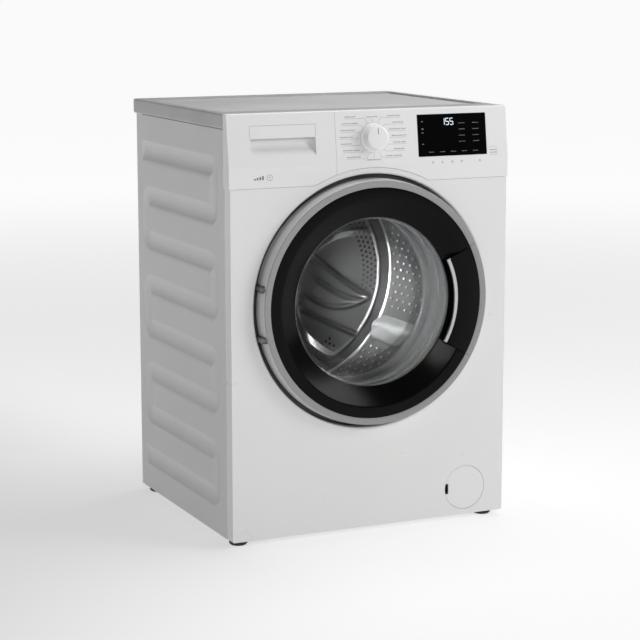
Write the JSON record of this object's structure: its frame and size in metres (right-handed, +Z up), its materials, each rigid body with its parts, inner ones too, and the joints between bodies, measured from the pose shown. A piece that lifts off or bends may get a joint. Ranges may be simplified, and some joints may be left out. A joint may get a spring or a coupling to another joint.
{
  "type": "front load washing machine",
  "caption": "Freestanding front loading washing machine with a round glass door, a drum on springs, a programme knob, a display, a detergent drawer and a drain filter.",
  "frame": {"origin": "on the floor under the middle of the bounding box, between the feet", "axes": "+Z up, -Y the front with the door, +X to the right as seen from the front"},
  "size_m": [0.6, 0.553, 0.84],
  "materials": {
    "white_paint": "smooth enamel",
    "white_plastic": "satin moulded plastic",
    "worktop_laminate": "fine matt laminate",
    "galvanised": "galvanised sheet",
    "motor_housing": "stacked sheet and cast ends",
    "silver_plastic": "silver painted",
    "black_gloss": "high gloss",
    "display_glass": "clear over black",
    "chrome": "polished",
    "door_glass": "clear",
    "grey_plastic": "moulded",
    "lifter_plastic": "moulded",
    "tub_plastic": "filled polypropylene",
    "stainless": "stainless sheet",
    "cast_aluminium": "as cast",
    "concrete": "cast concrete",
    "grey_rubber": "smooth",
    "black_rubber": "matt",
    "circuit_board": "coated"
  },
  "bodies": {
    "cabinet": {"left_side_panel": "white_paint", "right_side_panel": "white_paint", "rear_panel": "galvanised", "rear_access_cover": "galvanised", "front_panel": "white_paint", "base_tray": "galvanised", "top_crossbar": "galvanised", "worktop_frame": "white_plastic", "worktop_board": "worktop_laminate", "control_fascia": "white_plastic", "display_window": "display_glass", "control_board": "circuit_board", "dispenser_housing": "tub_plastic", "water_inlet_valve": "grey_plastic", "door_lock": "grey_plastic", "door_hinge_bracket": "galvanised", "door_gasket": "grey_rubber", "drain_pump": "grey_plastic", "damper_cylinder_left": "grey_plastic", "damper_cylinder_right": "grey_plastic", "suspension_spring_left": "galvanised", "suspension_spring_right": "galvanised", "drain_outlet_elbow": "grey_plastic", "cable_gland": "black_rubber", "sump_hose": "black_rubber", "filling_hose": "black_rubber"},
    "tub": {"tub_front": "tub_plastic", "tub_rear": "tub_plastic", "front_counterweight": "concrete", "top_counterweight": "concrete", "heating_element": "stainless", "main_bearing": "galvanised", "drive_motor": "motor_housing", "drive_belt": "black_rubber", "damper_rod_left": "galvanised", "damper_rod_right": "galvanised"},
    "drum": {"drum_shell": "stainless", "drum_lifter_1": "lifter_plastic", "drum_lifter_2": "lifter_plastic", "drum_lifter_3": "lifter_plastic", "drum_spider": "cast_aluminium", "drum_pulley": "cast_aluminium"},
    "motor_rotor": {"motor_pulley": "cast_aluminium"},
    "door": {"door_outer_ring": "silver_plastic", "door_bezel": "black_gloss", "door_glass": "door_glass", "door_inner_frame": "grey_plastic"},
    "handle": {"door_handle": "black_gloss", "door_handle_rim": "silver_plastic", "door_handle_strip": "chrome"},
    "latch": {"door_latch_hook": "chrome"},
    "knob": {"programme_knob": "silver_plastic"},
    "drawer": {"drawer_front": "white_plastic", "drawer_tray": "white_plastic"},
    "flap": {"filter_flap": "white_plastic"},
    "filter": {"pump_filter": "grey_plastic"},
    "foot_front_left": {"leveling_foot_front_left": "black_rubber"},
    "foot_front_right": {"leveling_foot_front_right": "black_rubber"},
    "foot_rear_left": {"leveling_foot_rear_left": "black_rubber"},
    "foot_rear_right": {"leveling_foot_rear_right": "black_rubber"}
  },
  "joints": [
    {"name": "tub_suspension", "type": "slide", "parent": "cabinet", "child": "tub", "axis": [0, 0, 1], "range_m": [-0.008, 0.008], "stiffness_N_per_m": 12000, "springref_m": 0.02899, "deforming": ["suspension_spring_left", "suspension_spring_right", "sump_hose", "filling_hose"]},
    {"name": "drum_spin", "type": "hinge", "parent": "tub", "child": "drum", "pos_m": [0, 0, 0.466], "axis": [0, 1, 0], "continuous": true},
    {"name": "motor_spin", "type": "hinge", "parent": "tub", "child": "motor_rotor", "pos_m": [0, 0.2, 0.128], "axis": [0, 1, 0], "continuous": true},
    {"name": "door_swing", "type": "hinge", "parent": "cabinet", "child": "door", "pos_m": [-0.2395, -0.264, 0.466], "axis": [0, 0, -1], "range_deg": [0, 120]},
    {"name": "handle_pull", "type": "hinge", "parent": "door", "child": "handle", "pos_m": [0.2385, -0.269, 0.466], "axis": [0, 0, 1], "range_deg": [0, 10], "stiffness_Nm_per_rad": 2},
    {"name": "latch_release", "type": "hinge", "parent": "door", "child": "latch", "pos_m": [0.2175, -0.244, 0.466], "axis": [0, 0, 1], "range_deg": [0, 7]},
    {"name": "knob_turn", "type": "hinge", "parent": "cabinet", "child": "knob", "pos_m": [0.0045, -0.24401, 0.78521], "axis": [0, -0.9917, 0.1288], "continuous": true},
    {"name": "drawer_slide", "type": "slide", "parent": "cabinet", "child": "drawer", "axis": [0, -1, 0], "range_m": [0, 0.18]},
    {"name": "flap_swing", "type": "hinge", "parent": "cabinet", "child": "flap", "pos_m": [0.2557, -0.25, 0.0691], "axis": [0, 0, 1], "range_deg": [0, 100]},
    {"name": "filter_turn", "type": "hinge", "parent": "cabinet", "child": "filter", "pos_m": [0.211, -0.22, 0.0691], "axis": [0, -1, 0], "range_deg": [0, 90]},
    {"name": "foot_front_left_screw", "type": "slide", "parent": "cabinet", "child": "foot_front_left", "axis": [0, 0, -1], "range_m": [0, 0.012]},
    {"name": "foot_front_right_screw", "type": "slide", "parent": "cabinet", "child": "foot_front_right", "axis": [0, 0, -1], "range_m": [0, 0.012]},
    {"name": "foot_rear_left_screw", "type": "slide", "parent": "cabinet", "child": "foot_rear_left", "axis": [0, 0, -1], "range_m": [0, 0.012]},
    {"name": "foot_rear_right_screw", "type": "slide", "parent": "cabinet", "child": "foot_rear_right", "axis": [0, 0, -1], "range_m": [0, 0.012]}
  ],
  "couplings": [
    {"joint": "motor_spin", "follows": "drum_spin", "ratio": 12.609},
    {"joint": "latch_release", "follows": "handle_pull", "ratio": 0.7}
  ]
}
